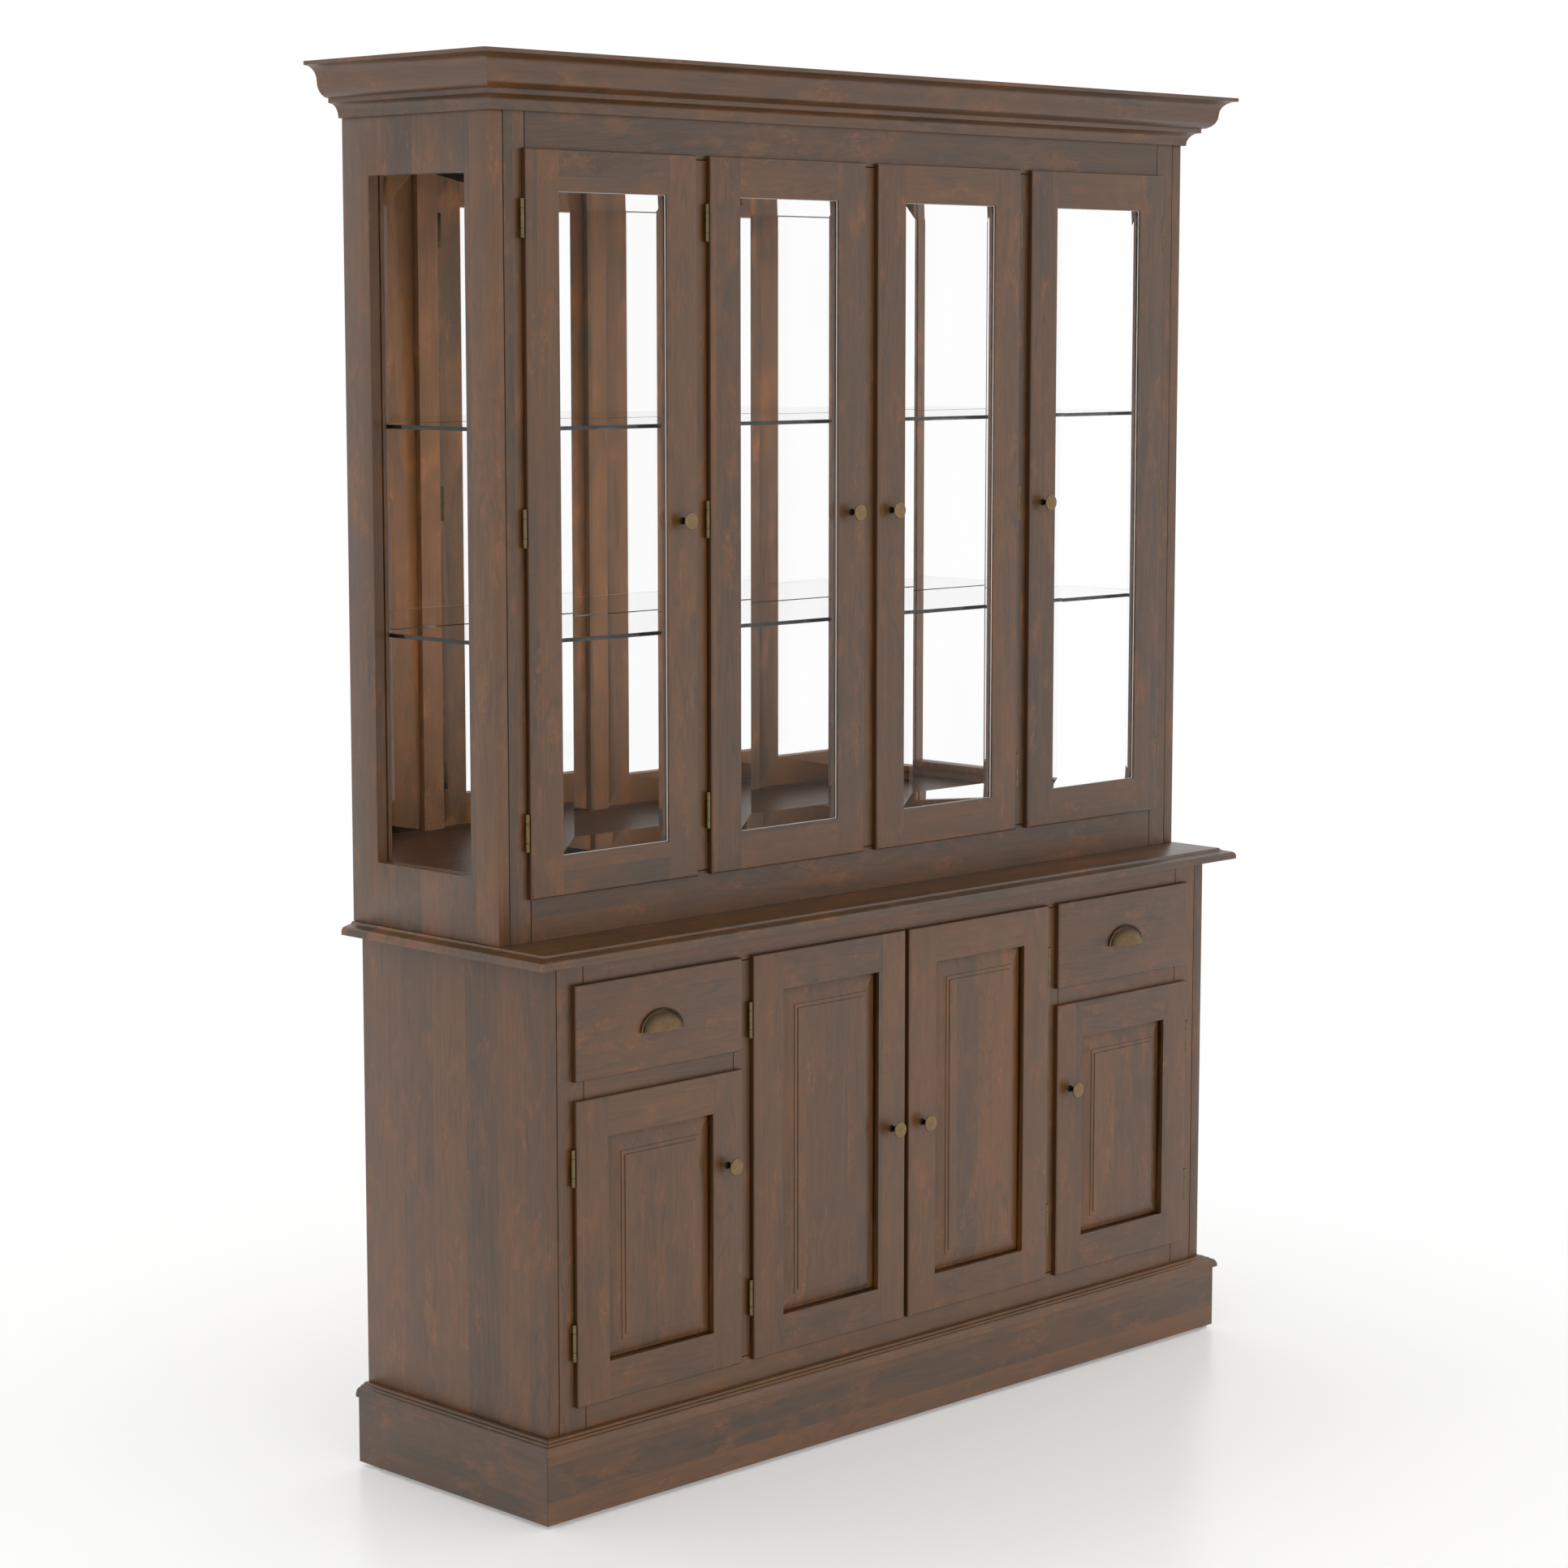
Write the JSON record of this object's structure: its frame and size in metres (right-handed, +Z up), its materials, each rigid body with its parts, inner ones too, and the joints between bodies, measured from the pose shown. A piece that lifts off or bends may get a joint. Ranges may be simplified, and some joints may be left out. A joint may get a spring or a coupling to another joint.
{
  "type": "dresser with hutch",
  "caption": "Dark wood dining dresser with framed doors and drawers below a moulded worktop and a glazed, mirror-backed hutch with glass shelves and a stepped crown.",
  "frame": {"origin": "centre of the bounding box at floor level", "axes": "+X to the viewer's right when facing the front, +Y towards the back, +Z up"},
  "size_m": [1.696, 0.4672, 2.154],
  "materials": {
    "wood": "satin dark brown stain",
    "interior": "satin dark brown stain",
    "brass": "antiqued, satin",
    "glass": "clear polished",
    "mirror": "polished",
    "glide": "matt"
  },
  "bodies": {
    "carcass": {"base_side_left": "wood", "base_side_right": "wood", "base_face_frame": "wood", "countertop": "wood", "plinth_front": "wood", "plinth_left": "wood", "plinth_right": "wood", "hutch_side_left": "wood", "hutch_side_right": "wood", "hutch_top": "wood", "hutch_floor": "wood", "hutch_face_frame": "wood", "crown": "wood", "base_partition_left": "interior", "base_partition_right": "interior", "base_bottom": "interior", "base_back": "interior", "base_shelf_left": "interior", "base_shelf_centre": "interior", "base_shelf_right": "interior", "hutch_back": "interior", "glide_front_left": "glide", "glide_front_right": "glide", "glide_back_left": "glide", "glide_back_right": "glide", "side_glass_left": "glass", "side_glass_right": "glass", "glass_shelf_lower": "glass", "glass_shelf_upper": "glass", "hutch_mirror": "mirror"},
    "hutch_door_outer_left": {"hutch_door_outer_left_frame": "wood", "hutch_door_outer_left_glass": "glass", "hutch_door_outer_left_knob": "brass"},
    "hutch_door_inner_left": {"hutch_door_inner_left_frame": "wood", "hutch_door_inner_left_glass": "glass", "hutch_door_inner_left_knob": "brass"},
    "hutch_door_inner_right": {"hutch_door_inner_right_frame": "wood", "hutch_door_inner_right_glass": "glass", "hutch_door_inner_right_knob": "brass"},
    "hutch_door_outer_right": {"hutch_door_outer_right_frame": "wood", "hutch_door_outer_right_glass": "glass", "hutch_door_outer_right_knob": "brass"},
    "short_door_left": {"short_door_left_frame": "wood", "short_door_left_panel": "wood", "short_door_left_knob": "brass"},
    "tall_door_left": {"tall_door_left_frame": "wood", "tall_door_left_panel": "wood", "tall_door_left_knob": "brass"},
    "tall_door_right": {"tall_door_right_frame": "wood", "tall_door_right_panel": "wood", "tall_door_right_knob": "brass"},
    "short_door_right": {"short_door_right_frame": "wood", "short_door_right_panel": "wood", "short_door_right_knob": "brass"},
    "drawer_left": {"drawer_left_front": "wood", "drawer_left_box": "interior", "drawer_left_pull": "brass"},
    "drawer_right": {"drawer_right_front": "wood", "drawer_right_box": "interior", "drawer_right_pull": "brass"}
  },
  "joints": [
    {"name": "hutch_door_outer_left_hinge", "type": "hinge", "parent": "carcass", "child": "hutch_door_outer_left", "pos_m": [-0.7255, -0.1139, 1.473], "axis": [0, 0, -1], "range_deg": [0, 110]},
    {"name": "hutch_door_inner_left_hinge", "type": "hinge", "parent": "carcass", "child": "hutch_door_inner_left", "pos_m": [-0.35763, -0.1139, 1.473], "axis": [0, 0, -1], "range_deg": [0, 90]},
    {"name": "hutch_door_inner_right_hinge", "type": "hinge", "parent": "carcass", "child": "hutch_door_inner_right", "pos_m": [0.35763, -0.1139, 1.473], "axis": [0, 0, 1], "range_deg": [0, 90]},
    {"name": "hutch_door_outer_right_hinge", "type": "hinge", "parent": "carcass", "child": "hutch_door_outer_right", "pos_m": [0.7255, -0.1139, 1.473], "axis": [0, 0, 1], "range_deg": [0, 110]},
    {"name": "short_door_left_hinge", "type": "hinge", "parent": "carcass", "child": "short_door_left", "pos_m": [-0.7145, -0.1969, 0.40125], "axis": [0, 0, -1], "range_deg": [0, 110]},
    {"name": "tall_door_left_hinge", "type": "hinge", "parent": "carcass", "child": "tall_door_left", "pos_m": [-0.3485, -0.1969, 0.488], "axis": [0, 0, -1], "range_deg": [0, 90]},
    {"name": "tall_door_right_hinge", "type": "hinge", "parent": "carcass", "child": "tall_door_right", "pos_m": [0.3485, -0.1969, 0.488], "axis": [0, 0, 1], "range_deg": [0, 90]},
    {"name": "short_door_right_hinge", "type": "hinge", "parent": "carcass", "child": "short_door_right", "pos_m": [0.7145, -0.1969, 0.40125], "axis": [0, 0, 1], "range_deg": [0, 110]},
    {"name": "drawer_left_slide", "type": "slide", "parent": "carcass", "child": "drawer_left", "axis": [0, -1, 0], "range_m": [0, 0.3]},
    {"name": "drawer_right_slide", "type": "slide", "parent": "carcass", "child": "drawer_right", "axis": [0, -1, 0], "range_m": [0, 0.3]}
  ]
}
